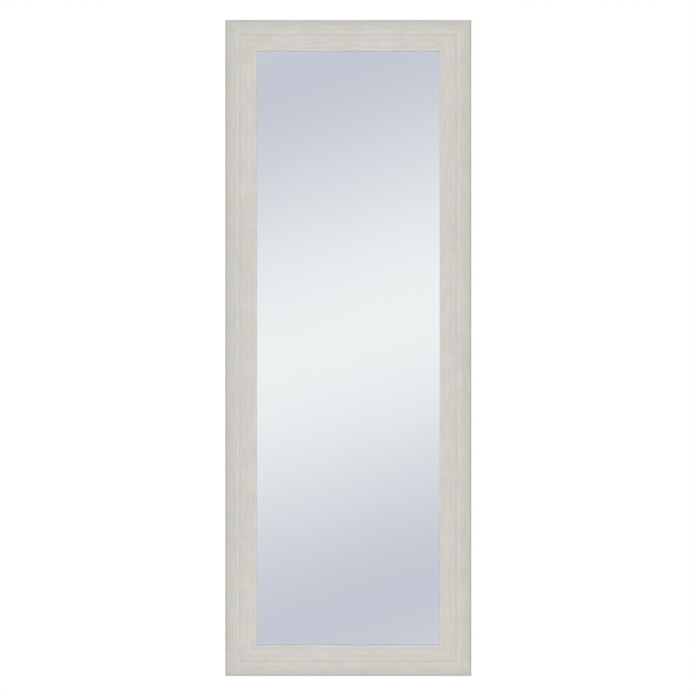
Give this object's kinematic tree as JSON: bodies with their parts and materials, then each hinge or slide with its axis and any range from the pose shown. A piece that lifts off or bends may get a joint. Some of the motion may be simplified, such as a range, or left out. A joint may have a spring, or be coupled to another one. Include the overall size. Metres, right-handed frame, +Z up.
{
  "type": "wall mirror",
  "caption": "Tall rectangular wall mirror in a mitred whitewashed wood-grain frame with a stepped bead moulding, with ring hangers on the back to hang it upright or lying.",
  "frame": {"origin": "middle of the wall plane that the four wall pads touch, at half the width and half the height of the frame", "axes": "+X to the viewer's right along the width, +Y from the glass into the wall, +Z up along the height"},
  "size_m": [0.45, 0.023, 1.2],
  "materials": {
    "frame_foil": "whitewashed wood-grain foil wrapped on fibreboard, matte; bare board at the back",
    "silvered_glass": "silvered float glass, polished, with seamed edges",
    "hardboard": "brown hardboard, meshed texture outwards",
    "steel": "bare spring steel",
    "zinc_plate": "bright zinc plate",
    "rubber": "black rubber, matte"
  },
  "bodies": {
    "mirror": {"left_stile": "frame_foil", "right_stile": "frame_foil", "top_rail": "frame_foil", "bottom_rail": "frame_foil", "v_nails": "steel", "mirror_glass": "silvered_glass", "setting_blocks": "rubber", "edge_spacers": "rubber", "backing_board": "hardboard", "retaining_points": "steel", "hanger_screws": "zinc_plate", "hanger_strap_top_left": "zinc_plate", "hanger_strap_top_right": "zinc_plate", "hanger_strap_side_upper": "zinc_plate", "hanger_strap_side_lower": "zinc_plate", "wall_pad_top_left": "rubber", "wall_pad_bottom_left": "rubber", "wall_pad_bottom_right": "rubber", "wall_pad_top_right": "rubber"},
    "ring_top_left": {"hanger_ring_top_left": "zinc_plate"},
    "ring_top_right": {"hanger_ring_top_right": "zinc_plate"},
    "ring_side_upper": {"hanger_ring_side_upper": "zinc_plate"},
    "ring_side_lower": {"hanger_ring_side_lower": "zinc_plate"}
  },
  "joints": [
    {"name": "ring_top_left_swing", "type": "hinge", "parent": "mirror", "child": "ring_top_left", "pos_m": [-0.1, -0.00265, 0.581], "axis": [1, 0, 0], "range_deg": [0, 176]},
    {"name": "ring_top_right_swing", "type": "hinge", "parent": "mirror", "child": "ring_top_right", "pos_m": [0.1, -0.00265, 0.581], "axis": [1, 0, 0], "range_deg": [0, 176]},
    {"name": "ring_side_upper_swing", "type": "hinge", "parent": "mirror", "child": "ring_side_upper", "pos_m": [-0.206, -0.00265, 0.3], "axis": [0, 0, 1], "range_deg": [0, 176]},
    {"name": "ring_side_lower_swing", "type": "hinge", "parent": "mirror", "child": "ring_side_lower", "pos_m": [-0.206, -0.00265, -0.3], "axis": [0, 0, 1], "range_deg": [0, 176]}
  ]
}
